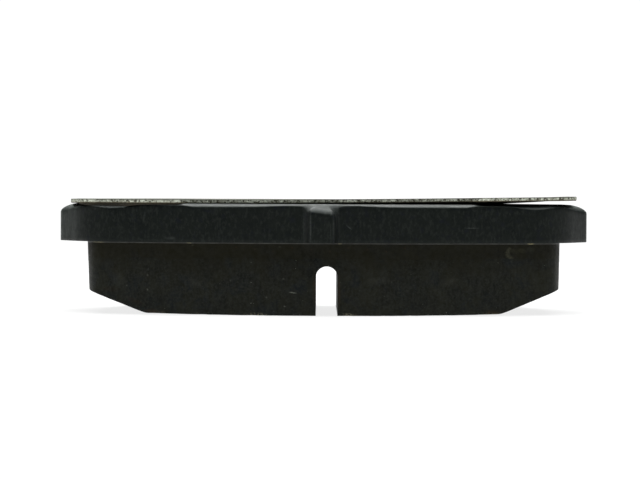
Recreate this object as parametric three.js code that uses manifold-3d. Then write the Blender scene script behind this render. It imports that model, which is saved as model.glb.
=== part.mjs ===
// A disc brake pad for a rear axle, in millimetres.
// The pad lies with its friction face down on z = 0. +X runs along the pad from ear to ear, +Y runs towards
// the hub, so the outer arc with its small tab faces -Y, and +Z runs from the friction face to the piston.
// The outlines are drawn about the disc's axis; the finished group is then centred over its own box.

import * as THREE from "three";
import { mergeVertices } from "three/addons/utils/BufferGeometryUtils.js";
import Module from "manifold-3d";

const wasm = await Module();
wasm.setup();

// ---- Backing plate -------------------------------------------------------------------------------------
const PLATE_LENGTH = 87; // over the two ears
const PLATE_THICKNESS = 6.2;
const OUTER_RADIUS = 120; // of the outer arc, about the disc's axis
const RADIAL_DEPTH = 44.5; // from the outer arc to the inner arc
const EAR_SETBACK = 17; // from the outer arc's crown back to the ear's end face
const EAR_WIDTH = 14; // of the ear's end face, along Y
const EAR_REACH = 4.3; // how far the ear stands out from the waist behind it
const SHOULDER_SLOPE = THREE.MathUtils.degToRad(63); // of the edge from the outer arc back to the ear
const EDGE_ROLL_WIDTH = 0.9; // rolled edge that blanking leaves round the piston side
const EDGE_ROLL_HEIGHT = 1;
const SHOULDER_RADIUS = 8;
const EAR_FRONT_RADIUS = 3;
const EAR_BACK_RADIUS = 1.5;
const EAR_ROOT_RADIUS = 2;
const INNER_CORNER_RADIUS = 4;

// ---- Locating tab on the plate's outer arc -------------------------------------------------------------
const TAB_WIDTH = 4.7;
const TAB_HEIGHT = 2; // how far it stands proud of the outer arc
const TAB_OFFSET = -0.3; // of its middle, along X
const TAB_TIP_RADIUS = 1.1;
const TAB_ROOT_RADIUS = 1;

// ---- Plate holes that the underlayer is moulded into ---------------------------------------------------
const HOLE_COUNT = 4; // evenly spaced along the pad, midway between the two arcs
const HOLE_RADIUS = 3.5;
const HOLE_END_DISTANCE = 10; // from the side of the friction material to the middle of the last hole
const PLUG_CLEARANCE = 0.3; // shrinkage round each moulded plug
const PLUG_RECESS = 0.5; // of the plug's end below the plate's piston side

// ---- Friction material ---------------------------------------------------------------------------------
const FRICTION_THICKNESS = 9.45;
const UNDERLAYER_THICKNESS = 2;
const ADHESIVE_THICKNESS = 0.2;
const FRICTION_INSET = 1.2; // from the plate's curved and sloping edges
const EAR_OVERHANG = 5.1; // from the side of the friction material to the end of the ear
const MOULD_DRAFT = 0.25; // taken off each end over the height of the material
const FRICTION_SHOULDER_RADIUS = 5;
const FRICTION_SIDE_RADIUS = 3;
const FRICTION_WAIST_RADIUS = 6;
const LEFT_CHAMFER = { length: 10.6, height: 4 };
const RIGHT_CHAMFER = { length: 11.1, height: 4.15 };
const SLOT_WIDTH = 3.5;
const SLOT_ROOF = 1.55; // friction material left above the slot's round top
const SLOT_OFFSET = 0.5; // of its middle, along X

// ---- Damping shim --------------------------------------------------------------------------------------
const SHIM_GLUE_THICKNESS = 0.08;
const SHIM_INNER_COAT_THICKNESS = 0.1;
const SHIM_CORE_THICKNESS = 0.37;
const SHIM_OUTER_COAT_THICKNESS = 0.1;
const SHIM_EDGE_INSET = 0.4; // from the plate's curved and sloping edges
const SHIM_END_INSET = 1.9; // from the ends of the ears
const SHIM_LEFT_LAND = 15.2; // from the shoulder along the outer edge to the notch round the tab
const SHIM_RIGHT_LAND = 13.5;
const SHIM_NOTCH_DEPTH = 2.6;
const SHIM_NOTCH_RADIUS = 1;
const RIGHT_LIFT = { height: 0.68, start: -20 }; // the right end springs clear of the plate
const LEFT_LIFT = { height: 0.06, start: -32 };
const LIFT_POWER = 1.8;

// ---- Fineness ------------------------------------------------------------------------------------------
const ARC_STEP = 3; // length of a flat along the long arcs
const FILLET_STEPS = 3; // two flats for each, so six round a fillet
const SLOT_STEPS = 6; // two flats for each, so twelve round the slot's top
const HOLE_SIDES = 24;
const ROLL_STEPS = 3; // flats down the plate's rolled edge
const LIFT_STEPS = 32; // flats along the bent shim
const WELD = 1e-4; // vertices closer than this are one

// Heights of the layers above the friction face, from the face up.
const UNDERLAYER_BOTTOM = FRICTION_THICKNESS;
const UNDERLAYER_TOP = UNDERLAYER_BOTTOM + UNDERLAYER_THICKNESS;
const PLATE_BOTTOM = UNDERLAYER_TOP + ADHESIVE_THICKNESS;
const PLATE_TOP = PLATE_BOTTOM + PLATE_THICKNESS;

const INNER_RADIUS = OUTER_RADIUS - RADIAL_DEPTH;
const SLOT_TOP = FRICTION_THICKNESS - SLOT_ROOF;
const HALF_LENGTH = PLATE_LENGTH / 2;
const FRICTION_HALF_LENGTH = HALF_LENGTH - EAR_OVERHANG;
const EAR_FRONT_Y = EAR_SETBACK - OUTER_RADIUS;
const EAR_BACK_Y = EAR_FRONT_Y + EAR_WIDTH;
const MIDDLE_RADIUS = (OUTER_RADIUS + INNER_RADIUS) / 2;
const CLEAR_OF_ALL = 2 * OUTER_RADIUS; // longer than any piece, for the tools that cut right through

// ---- Outlines ------------------------------------------------------------------------------------------
// A corner is { x, y, radius }: a point of the outline before it is rounded, and the radius it gets.

function corner(x, y, radius = 0) {
  return { x, y, radius };
}

// The y of a circle about the disc's axis at a given x, on the outer side.
function arcY(radius, x) {
  return -Math.sqrt(radius * radius - x * x);
}

// Points along an arc about the disc's axis, from one x to another on the outer side, ends left out.
function arcPoints(radius, fromX, toX) {
  const fromAngle = Math.asin(fromX / radius);
  const toAngle = Math.asin(toX / radius);
  const steps = Math.max(1, Math.round((Math.abs(toAngle - fromAngle) * radius) / ARC_STEP));
  const points = [];
  for (let i = 1; i < steps; i++) {
    const angle = THREE.MathUtils.lerp(fromAngle, toAngle, i / steps);
    points.push(corner(radius * Math.sin(angle), -radius * Math.cos(angle)));
  }
  return points;
}

// The sloping edge between outer arc and ear, moved in from the plate's edge: its y at a given x.
function slopeY(inset, x) {
  const throughX = HALF_LENGTH - inset * Math.sin(SHOULDER_SLOPE);
  const throughY = EAR_FRONT_Y + inset * Math.cos(SHOULDER_SLOPE);
  return throughY + (x - throughX) * Math.tan(SHOULDER_SLOPE);
}

// Where that edge meets the outer arc: the first crossing on the way forward from the ear.
function shoulderCorner(inset, rounding) {
  const radius = OUTER_RADIUS - inset;
  const rise = Math.tan(SHOULDER_SLOPE);
  const offset = slopeY(inset, 0);
  const across = 1 + rise * rise;
  const middle = (-rise * offset) / across;
  const half = Math.sqrt(middle * middle - (offset * offset - radius * radius) / across);
  return corner(middle - half, slopeY(inset, middle - half), rounding);
}

// The end of the inner arc, on the straight line that runs from the waist towards the disc's axis.
function innerCorner(inset, waistAngle) {
  const radius = INNER_RADIUS + inset;
  return corner(radius * Math.sin(waistAngle), -radius * Math.cos(waistAngle), INNER_CORNER_RADIUS);
}

// The right side of a piece with ears, from the outer arc to the inner arc.
function earedSide(edgeInset, endInset) {
  const endX = HALF_LENGTH - endInset;
  const rootX = HALF_LENGTH - EAR_REACH - edgeInset;
  const backY = EAR_BACK_Y - edgeInset;
  const waistAngle = Math.atan2(rootX, -backY);
  return [
    shoulderCorner(edgeInset, SHOULDER_RADIUS),
    corner(endX, slopeY(edgeInset, endX), EAR_FRONT_RADIUS),
    corner(endX, backY, EAR_BACK_RADIUS),
    corner(rootX, backY, EAR_ROOT_RADIUS),
    innerCorner(edgeInset, waistAngle),
  ];
}

// The right side of the friction material, which stops short of the ears.
function frictionSide() {
  const rootX = HALF_LENGTH - EAR_REACH - FRICTION_INSET;
  const waistAngle = Math.atan2(rootX, -EAR_BACK_Y);
  const waistY = -FRICTION_HALF_LENGTH / Math.tan(waistAngle);
  return [
    shoulderCorner(FRICTION_INSET, FRICTION_SHOULDER_RADIUS),
    corner(FRICTION_HALF_LENGTH, slopeY(FRICTION_INSET, FRICTION_HALF_LENGTH), FRICTION_SIDE_RADIUS),
    corner(FRICTION_HALF_LENGTH, waistY, FRICTION_WAIST_RADIUS),
    innerCorner(FRICTION_INSET, waistAngle),
  ];
}

// A step out of the outer arc, such as the tab, or into it, such as the shim's notch.
function steppedArc(radius, fromX, toX, step) {
  if (!step) return arcPoints(radius, fromX, toX);
  const { left, right, stepRadius, rootRadius, tipRadius } = step;
  return [
    ...arcPoints(radius, fromX, left - rootRadius),
    corner(left, arcY(radius, left), rootRadius),
    corner(left, arcY(stepRadius, left), tipRadius),
    ...arcPoints(stepRadius, left + tipRadius, right - tipRadius),
    corner(right, arcY(stepRadius, right), tipRadius),
    corner(right, arcY(radius, right), rootRadius),
    ...arcPoints(radius, right + rootRadius, toX),
  ];
}

// The whole outline, anticlockwise from the right shoulder.
function padOutline(side, outerRadius, innerRadius, step = null) {
  const mirrored = side.map((c) => corner(-c.x, c.y, c.radius)).reverse();
  const shoulder = side[0];
  const inner = side[side.length - 1];
  const shoulderReach = shoulder.x - shoulder.radius;
  const innerReach = inner.x - inner.radius;
  return [
    ...side,
    ...arcPoints(innerRadius, innerReach, -innerReach),
    ...mirrored,
    ...steppedArc(outerRadius, -shoulderReach, shoulderReach, step),
  ];
}

// The tangent points, centre and sweep of the arc that rounds one corner, limited by its shorter wall.
function fillet(before, here, after) {
  const at = new THREE.Vector2(here.x, here.y);
  const inward = new THREE.Vector2(before.x, before.y).sub(at);
  const outward = new THREE.Vector2(after.x, after.y).sub(at);
  const wall = Math.min(inward.length(), outward.length()) / 2;
  inward.normalize();
  outward.normalize();
  const halfTurn = (Math.PI - Math.acos(inward.dot(outward))) / 2;
  const setback = Math.min(here.radius * Math.tan(halfTurn), wall);
  const radius = setback / Math.tan(halfTurn);
  const towardsCentre = inward.clone().add(outward).normalize();
  const centre = at.clone().addScaledVector(towardsCentre, radius / Math.cos(halfTurn));
  const start = at.clone().addScaledVector(inward, setback);
  const end = at.clone().addScaledVector(outward, setback);
  return { start, end, centre, radius, clockwise: inward.cross(outward) > 0 };
}

// A closed shape with every corner rounded by its own radius.
function roundedShape(corners) {
  const shape = new THREE.Shape();
  const count = corners.length;
  const first = fillet(corners[count - 1], corners[0], corners[1]);
  shape.moveTo(first.start.x, first.start.y);
  corners.forEach((here, i) => {
    if (here.radius === 0) {
      shape.lineTo(here.x, here.y);
      return;
    }
    const before = corners[(i + count - 1) % count];
    const after = corners[(i + 1) % count];
    const { start, end, centre, radius, clockwise } = fillet(before, here, after);
    const startAngle = Math.atan2(start.y - centre.y, start.x - centre.x);
    const endAngle = Math.atan2(end.y - centre.y, end.x - centre.x);
    shape.lineTo(start.x, start.y);
    shape.absarc(centre.x, centre.y, radius, startAngle, endAngle, clockwise);
  });
  shape.closePath();
  return shape;
}

// ---- Solids --------------------------------------------------------------------------------------------

// A closed three.js geometry as a manifold-3d solid.
function toSolid(geometry) {
  const bare = geometry.index ? geometry.toNonIndexed() : geometry.clone();
  bare.deleteAttribute("normal");
  bare.deleteAttribute("uv");
  const merged = mergeVertices(bare, WELD);
  const mesh = new wasm.Mesh({
    numProp: 3,
    vertProperties: new Float32Array(merged.attributes.position.array),
    triVerts: new Uint32Array(merged.index.array),
  });
  return new wasm.Manifold(mesh);
}

// A manifold-3d solid as a three.js geometry.
function toGeometry(solid) {
  const mesh = solid.getMesh();
  const geometry = new THREE.BufferGeometry();
  geometry.setAttribute("position", new THREE.BufferAttribute(mesh.vertProperties, mesh.numProp));
  geometry.setIndex(new THREE.BufferAttribute(mesh.triVerts, 1));
  geometry.computeVertexNormals();
  return geometry;
}

// An upright prism of an outline between two heights.
function prism(shape, bottom, top) {
  const options = { depth: top - bottom, bevelEnabled: false, curveSegments: FILLET_STEPS };
  return new THREE.ExtrudeGeometry(shape, options).translate(0, 0, bottom);
}

// A profile drawn in X and Z, extruded along Y from the disc's axis to beyond the outer arc.
function crosswise(shape) {
  const options = { depth: CLEAR_OF_ALL, bevelEnabled: false, curveSegments: SLOT_STEPS };
  return new THREE.ExtrudeGeometry(shape, options).rotateX(Math.PI / 2);
}

// The upright column that each hole or plug takes up.
function holeColumns(radius, bottom, top) {
  const lastX = FRICTION_HALF_LENGTH - HOLE_END_DISTANCE;
  const columns = [];
  for (let i = 0; i < HOLE_COUNT; i++) {
    const x = THREE.MathUtils.lerp(-lastX, lastX, i / (HOLE_COUNT - 1));
    const column = new THREE.CylinderGeometry(radius, radius, top - bottom, HOLE_SIDES);
    column.rotateX(Math.PI / 2).translate(x, arcY(MIDDLE_RADIUS, x), (bottom + top) / 2);
    columns.push(toSolid(column));
  }
  return columns;
}

// Draws the walls of the friction material in towards its face, as the mould's draft does.
function drafted(geometry) {
  const position = geometry.attributes.position;
  for (let i = 0; i < position.count; i++) {
    const below = (UNDERLAYER_TOP - position.getZ(i)) / UNDERLAYER_TOP;
    const scale = 1 - (MOULD_DRAFT / FRICTION_HALF_LENGTH) * below;
    position.setX(i, position.getX(i) * scale);
    position.setY(i, MIDDLE_RADIUS * (scale - 1) + position.getY(i) * scale);
  }
  return geometry;
}

// ---- Pieces --------------------------------------------------------------------------------------------

const tabStep = {
  left: TAB_OFFSET - TAB_WIDTH / 2,
  right: TAB_OFFSET + TAB_WIDTH / 2,
  stepRadius: OUTER_RADIUS + TAB_HEIGHT,
  rootRadius: TAB_ROOT_RADIUS,
  tipRadius: TAB_TIP_RADIUS,
};
const plateShape = roundedShape(padOutline(earedSide(0, 0), OUTER_RADIUS, INNER_RADIUS, tabStep));
const frictionShape = roundedShape(
  padOutline(frictionSide(), OUTER_RADIUS - FRICTION_INSET, INNER_RADIUS + FRICTION_INSET),
);

// The stamped plate: rolled round its piston side, sharp round its friction side, with four holes.
function makeBackingPlate() {
  const options = {
    depth: 2 * PLATE_THICKNESS,
    curveSegments: FILLET_STEPS,
    bevelThickness: EDGE_ROLL_HEIGHT,
    bevelSize: EDGE_ROLL_WIDTH,
    bevelOffset: -EDGE_ROLL_WIDTH,
    bevelSegments: ROLL_STEPS,
  };
  const bottom = PLATE_TOP - EDGE_ROLL_HEIGHT - options.depth;
  const blank = toSolid(new THREE.ExtrudeGeometry(plateShape, options).translate(0, 0, bottom));
  const below = new THREE.BoxGeometry(CLEAR_OF_ALL, 2 * CLEAR_OF_ALL, CLEAR_OF_ALL);
  const trimmed = blank.subtract(toSolid(below.translate(0, 0, PLATE_BOTTOM - CLEAR_OF_ALL / 2)));
  return holeColumns(HOLE_RADIUS, 0, CLEAR_OF_ALL).reduce((plate, hole) => plate.subtract(hole), trimmed);
}

// The film of adhesive that holds the friction material to the plate.
function makeAdhesiveFilm() {
  const film = toSolid(prism(frictionShape, UNDERLAYER_TOP, PLATE_BOTTOM));
  return holeColumns(HOLE_RADIUS, 0, CLEAR_OF_ALL).reduce((rest, hole) => rest.subtract(hole), film);
}

// The tougher layer under the friction block, with the plugs that it fills the plate's holes with.
function makeUnderlayer() {
  const layer = toSolid(drafted(prism(frictionShape, UNDERLAYER_BOTTOM, UNDERLAYER_TOP)));
  const plugBottom = UNDERLAYER_BOTTOM + UNDERLAYER_THICKNESS / 2;
  const plugs = holeColumns(HOLE_RADIUS - PLUG_CLEARANCE, plugBottom, PLATE_TOP - PLUG_RECESS);
  return plugs.reduce((whole, plug) => whole.add(plug), layer);
}

// The side view of the friction block: a chamfer at each end and the round-topped slot between them.
function frictionProfile() {
  const reach = FRICTION_HALF_LENGTH;
  const slotLeft = SLOT_OFFSET - SLOT_WIDTH / 2;
  const slotRight = SLOT_OFFSET + SLOT_WIDTH / 2;
  const slotRadius = SLOT_WIDTH / 2;
  const shape = new THREE.Shape();
  shape.moveTo(-reach, LEFT_CHAMFER.height);
  shape.lineTo(LEFT_CHAMFER.length - reach, 0);
  shape.lineTo(slotLeft, 0);
  shape.lineTo(slotLeft, SLOT_TOP - slotRadius);
  shape.absarc(SLOT_OFFSET, SLOT_TOP - slotRadius, slotRadius, Math.PI, 0, true);
  shape.lineTo(slotRight, 0);
  shape.lineTo(reach - RIGHT_CHAMFER.length, 0);
  shape.lineTo(reach, RIGHT_CHAMFER.height);
  shape.lineTo(reach, CLEAR_OF_ALL);
  shape.lineTo(-reach, CLEAR_OF_ALL);
  shape.closePath();
  return shape;
}

function makeFrictionBlock() {
  const block = toSolid(drafted(prism(frictionShape, 0, UNDERLAYER_BOTTOM)));
  return block.intersect(toSolid(crosswise(frictionProfile())));
}

// How far the shim has sprung off the plate at a place along it.
function lift(x) {
  const end = HALF_LENGTH - SHIM_END_INSET;
  const right = Math.max(0, (x - RIGHT_LIFT.start) / (end - RIGHT_LIFT.start));
  const left = Math.max(0, (LEFT_LIFT.start - x) / (end + LEFT_LIFT.start));
  return RIGHT_LIFT.height * right ** LIFT_POWER + LEFT_LIFT.height * left ** LIFT_POWER;
}

// One layer of the bent shim, between two heights above the plate.
function makeShimLayer(bottom, top) {
  const side = earedSide(SHIM_EDGE_INSET, SHIM_END_INSET);
  const notch = {
    left: SHIM_LEFT_LAND - side[0].x,
    right: side[0].x - SHIM_RIGHT_LAND,
    stepRadius: OUTER_RADIUS - SHIM_NOTCH_DEPTH,
    rootRadius: SHIM_NOTCH_RADIUS,
    tipRadius: SHIM_NOTCH_RADIUS,
  };
  const outline = padOutline(side, OUTER_RADIUS - SHIM_EDGE_INSET, INNER_RADIUS + SHIM_EDGE_INSET, notch);
  const column = toSolid(prism(roundedShape(outline), 0, CLEAR_OF_ALL));
  const underside = [];
  const topside = [];
  for (let i = 0; i <= LIFT_STEPS; i++) {
    const x = THREE.MathUtils.lerp(-HALF_LENGTH, HALF_LENGTH, i / LIFT_STEPS);
    underside.push(new THREE.Vector2(x, PLATE_TOP + bottom + lift(x)));
    topside.unshift(new THREE.Vector2(x, PLATE_TOP + top + lift(x)));
  }
  const strip = new THREE.Shape([...underside, ...topside]);
  return column.intersect(toSolid(crosswise(strip)));
}

const SHIM_LAYERS = [
  { name: "shim_glue_layer", thickness: SHIM_GLUE_THICKNESS, color: 0x1e1d1a, roughness: 0.8, metalness: 0 },
  { name: "shim_inner_coat", thickness: SHIM_INNER_COAT_THICKNESS, color: 0x2a2a29, roughness: 0.9, metalness: 0 },
  { name: "shim_core", thickness: SHIM_CORE_THICKNESS, color: 0x8c8d86, roughness: 0.4, metalness: 0.9 },
  { name: "shim_outer_coat", thickness: SHIM_OUTER_COAT_THICKNESS, color: 0x73766b, roughness: 0.85, metalness: 0 },
];

// ---- Assembly ------------------------------------------------------------------------------------------

const pad = new THREE.Group();

function addPiece(name, solid, color, roughness, metalness) {
  const material = new THREE.MeshStandardMaterial({ color, roughness, metalness });
  const mesh = new THREE.Mesh(toGeometry(solid), material);
  mesh.name = name;
  pad.add(mesh);
}

addPiece("backing_plate", makeBackingPlate(), 0x191b1a, 0.35, 0.2);
addPiece("adhesive_film", makeAdhesiveFilm(), 0x57513a, 0.7, 0);
addPiece("underlayer", makeUnderlayer(), 0x2b2a1f, 0.95, 0);
addPiece("friction_block", makeFrictionBlock(), 0x1d1e1c, 0.95, 0);

let layerBottom = 0;
for (const { name, thickness, color, roughness, metalness } of SHIM_LAYERS) {
  addPiece(name, makeShimLayer(layerBottom, layerBottom + thickness), color, roughness, metalness);
  layerBottom += thickness;
}

const depthBox = new THREE.Box2().setFromPoints(plateShape.getPoints(FILLET_STEPS));
pad.position.y = -(depthBox.min.y + depthBox.max.y) / 2;

export default pad;
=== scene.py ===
"""Visual model of a rear disc brake pad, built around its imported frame.

The pad lies on its friction face. Lengths inside the classes are in millimetres about the disc's axis, as a
drawing gives them, and Bench turns them into metres in the frame's own place.
"""

import logging
import math
from dataclasses import dataclass, field
from enum import Enum
from typing import Callable, Optional, Sequence

import bpy
import numpy as np
from mathutils import Matrix, Vector, noise
from mathutils.geometry import delaunay_2d_cdt


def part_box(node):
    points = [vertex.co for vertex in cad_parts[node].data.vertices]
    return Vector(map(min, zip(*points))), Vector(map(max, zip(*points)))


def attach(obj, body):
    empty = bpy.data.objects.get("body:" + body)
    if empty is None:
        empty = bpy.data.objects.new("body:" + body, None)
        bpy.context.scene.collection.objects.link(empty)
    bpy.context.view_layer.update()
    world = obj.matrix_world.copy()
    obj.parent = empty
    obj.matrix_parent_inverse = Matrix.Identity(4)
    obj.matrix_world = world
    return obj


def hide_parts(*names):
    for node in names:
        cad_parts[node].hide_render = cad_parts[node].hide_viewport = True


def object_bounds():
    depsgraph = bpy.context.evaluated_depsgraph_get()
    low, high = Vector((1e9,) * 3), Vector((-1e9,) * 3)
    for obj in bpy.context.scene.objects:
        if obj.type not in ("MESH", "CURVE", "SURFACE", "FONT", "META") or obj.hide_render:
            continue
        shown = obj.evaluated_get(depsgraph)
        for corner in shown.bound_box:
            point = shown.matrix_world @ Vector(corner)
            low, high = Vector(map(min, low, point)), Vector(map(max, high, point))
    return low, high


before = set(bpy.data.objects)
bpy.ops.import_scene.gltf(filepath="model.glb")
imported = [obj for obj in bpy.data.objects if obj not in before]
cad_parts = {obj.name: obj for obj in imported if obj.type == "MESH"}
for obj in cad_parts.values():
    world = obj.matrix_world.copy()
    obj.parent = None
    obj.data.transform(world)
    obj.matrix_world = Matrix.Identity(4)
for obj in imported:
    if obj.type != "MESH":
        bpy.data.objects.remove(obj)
CAD_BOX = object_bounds()

MM = 0.001
LOG = logging.getLogger("brake_pad")
ROW_SLACK = 0.985  # the share of its inset that a row's point keeps from the rim
GRID_GAP = 0.4  # the share of the pitch that the grid keeps from rows and holes
WELD = 1e-7  # how near two points in the plan may lie before they become one
Heights = Callable[[np.ndarray, np.ndarray], np.ndarray]


class Node(Enum):
    """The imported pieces, by the names that the frame gives them."""

    BACKING_PLATE = "backing_plate"
    ADHESIVE_FILM = "adhesive_film"
    UNDERLAYER = "underlayer"
    FRICTION_BLOCK = "friction_block"
    SHIM_GLUE = "shim_glue_layer"
    SHIM_INNER_COAT = "shim_inner_coat"
    SHIM_CORE = "shim_core"
    SHIM_OUTER_COAT = "shim_outer_coat"

    def low(self, axis: int) -> float:
        """The piece's lowest value along an axis, in millimetres."""
        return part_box(self.value)[0][axis] / MM

    def high(self, axis: int) -> float:
        """The piece's highest value along an axis, in millimetres."""
        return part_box(self.value)[1][axis] / MM


class Slot(Enum):
    """The record's material slots."""

    PLATE_PAINT = "plate_paint"
    ADHESIVE = "bonding_adhesive"
    UNDERLAYER = "underlayer_compound"
    FRICTION = "friction_compound"
    SHIM_GLUE = "shim_glue"
    SHIM_INNER = "shim_inner_rubber"
    SHIM_STEEL = "shim_steel"
    SHIM_OUTER = "shim_outer_rubber"


# ---- Drawing ---------------------------------------------------------------------------------------------


@dataclass(frozen=True)
class Corner:
    """One corner of an outline before it is rounded, and the radius it gets."""

    x: float
    y: float
    radius: float = 0.0


@dataclass(frozen=True)
class Rim:
    """A closed outline as closely spaced points, anticlockwise, each with its outward normal."""

    points: np.ndarray
    normals: np.ndarray

    @staticmethod
    def through(points: Sequence[tuple[float, float]]) -> "Rim":
        """Makes a rim of points that already lie close together.

        Args:
            points: the outline, anticlockwise, without a repeated end.

        Returns:
            The rim with its normals.
        """
        track = np.array(points, dtype=float)
        along = np.roll(track, -1, axis=0) - np.roll(track, 1, axis=0)
        along /= np.linalg.norm(along, axis=1)[:, None]
        return Rim(track, np.stack([along[:, 1], -along[:, 0]], axis=1))

    @staticmethod
    def circle(centre: tuple[float, float], radius: float, sides: int = 48) -> "Rim":
        """Makes a round rim.

        Args:
            centre: its middle.
            radius: its radius.
            sides: how many points it has.

        Returns:
            The rim.
        """
        turns = [2 * math.pi * i / sides for i in range(sides)]
        x, y = centre
        return Rim.through([(x + radius * math.cos(t), y + radius * math.sin(t)) for t in turns])

    def distance(self, points: np.ndarray) -> np.ndarray:
        """How far each point lies from the rim's nearest point."""
        gaps = points[:, None, :] - self.points[None, :, :]
        return np.sqrt((gaps**2).sum(axis=2).min(axis=1))

    def holds(self, points: np.ndarray) -> np.ndarray:
        """Whether each point lies inside the outline.

        Args:
            points: places in the plan.

        Returns:
            True or False for each.
        """
        inside = np.zeros(len(points), dtype=bool)
        ahead = np.roll(self.points, -1, axis=0)
        for (ax, ay), (bx, by) in zip(self.points, ahead):
            spans = (ay > points[:, 1]) != (by > points[:, 1])
            reach = ax + (points[:, 1] - ay) * (bx - ax) / ((by - ay) or 1.0)
            inside ^= spans & (points[:, 0] < reach)
        return inside


class Tracer:
    """Turns rounded corners into rims."""

    def __init__(self, spacing: float, run_out: float = 3.0) -> None:
        """Sets how far apart points lie, and what each arc leaves at its ends for the roundings there."""
        self.spacing = spacing
        self.run_out = run_out

    def between(self, start: np.ndarray, end: np.ndarray) -> list[tuple[float, float]]:
        """Points along a straight edge, its end left out."""
        steps = max(1, round(float(np.linalg.norm(end - start)) / self.spacing))
        return [tuple(start + (end - start) * i / steps) for i in range(steps)]

    def arc(self, radius: float, start_x: float, end_x: float) -> list[Corner]:
        """Points along an arc about the disc's axis, on the outer side, its ends left out.

        Args:
            radius: the arc's radius.
            start_x: where it begins, along the pad.
            end_x: where it ends.

        Returns:
            The points as corners without rounding.
        """
        first, last = math.asin(start_x / radius), math.asin(end_x / radius)
        length = abs(last - first) * radius
        steps = max(1, round(length / self.spacing))
        low, high = self.run_out, length - self.run_out
        shares = [i / steps for i in range(1, steps) if low < length * i / steps < high]
        turns = [first + (last - first) * share for share in shares]
        return [Corner(radius * math.sin(t), -radius * math.cos(t)) for t in turns]

    def round_corner(self, before: Corner, here: Corner, after: Corner) -> list[np.ndarray]:
        """Points round one corner, from one tangent point to the other.

        Args:
            before: the corner before it.
            here: the corner.
            after: the corner after it.

        Returns:
            The points, or the corner itself where it isn't rounded.
        """
        at = np.array([here.x, here.y])
        if here.radius == 0:
            return [at]
        inward = np.array([before.x, before.y]) - at
        outward = np.array([after.x, after.y]) - at
        wall = min(np.linalg.norm(inward), np.linalg.norm(outward)) / 2
        inward /= np.linalg.norm(inward)
        outward /= np.linalg.norm(outward)
        half_turn = (math.pi - math.acos(float(inward @ outward))) / 2
        setback = min(here.radius * math.tan(half_turn), wall)
        radius = setback / math.tan(half_turn)
        middle = (inward + outward) / np.linalg.norm(inward + outward)
        centre = at + middle * radius / math.cos(half_turn)
        start = at + inward * setback - centre
        sense = -1 if inward[0] * outward[1] - inward[1] * outward[0] > 0 else 1
        steps = max(4, round(2 * half_turn * radius / self.spacing))
        turns = [sense * 2 * half_turn * i / steps for i in range(steps + 1)]
        return [
            centre + np.array([
                start[0] * math.cos(t) - start[1] * math.sin(t),
                start[0] * math.sin(t) + start[1] * math.cos(t),
            ])
            for t in turns
        ]

    def trace(self, corners: Sequence[Corner]) -> Rim:
        """Follows the whole outline.

        Args:
            corners: its corners, anticlockwise.

        Returns:
            The rim.
        """
        count = len(corners)
        runs = [self.round_corner(corners[i - 1], corners[i], corners[(i + 1) % count]) for i in range(count)]
        points: list[tuple[float, float]] = []
        for run, following in zip(runs, runs[1:] + runs[:1]):
            points += [tuple(p) for p in run[:-1]]
            points += self.between(run[-1], following[0])
        return Rim.through(points)


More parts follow.
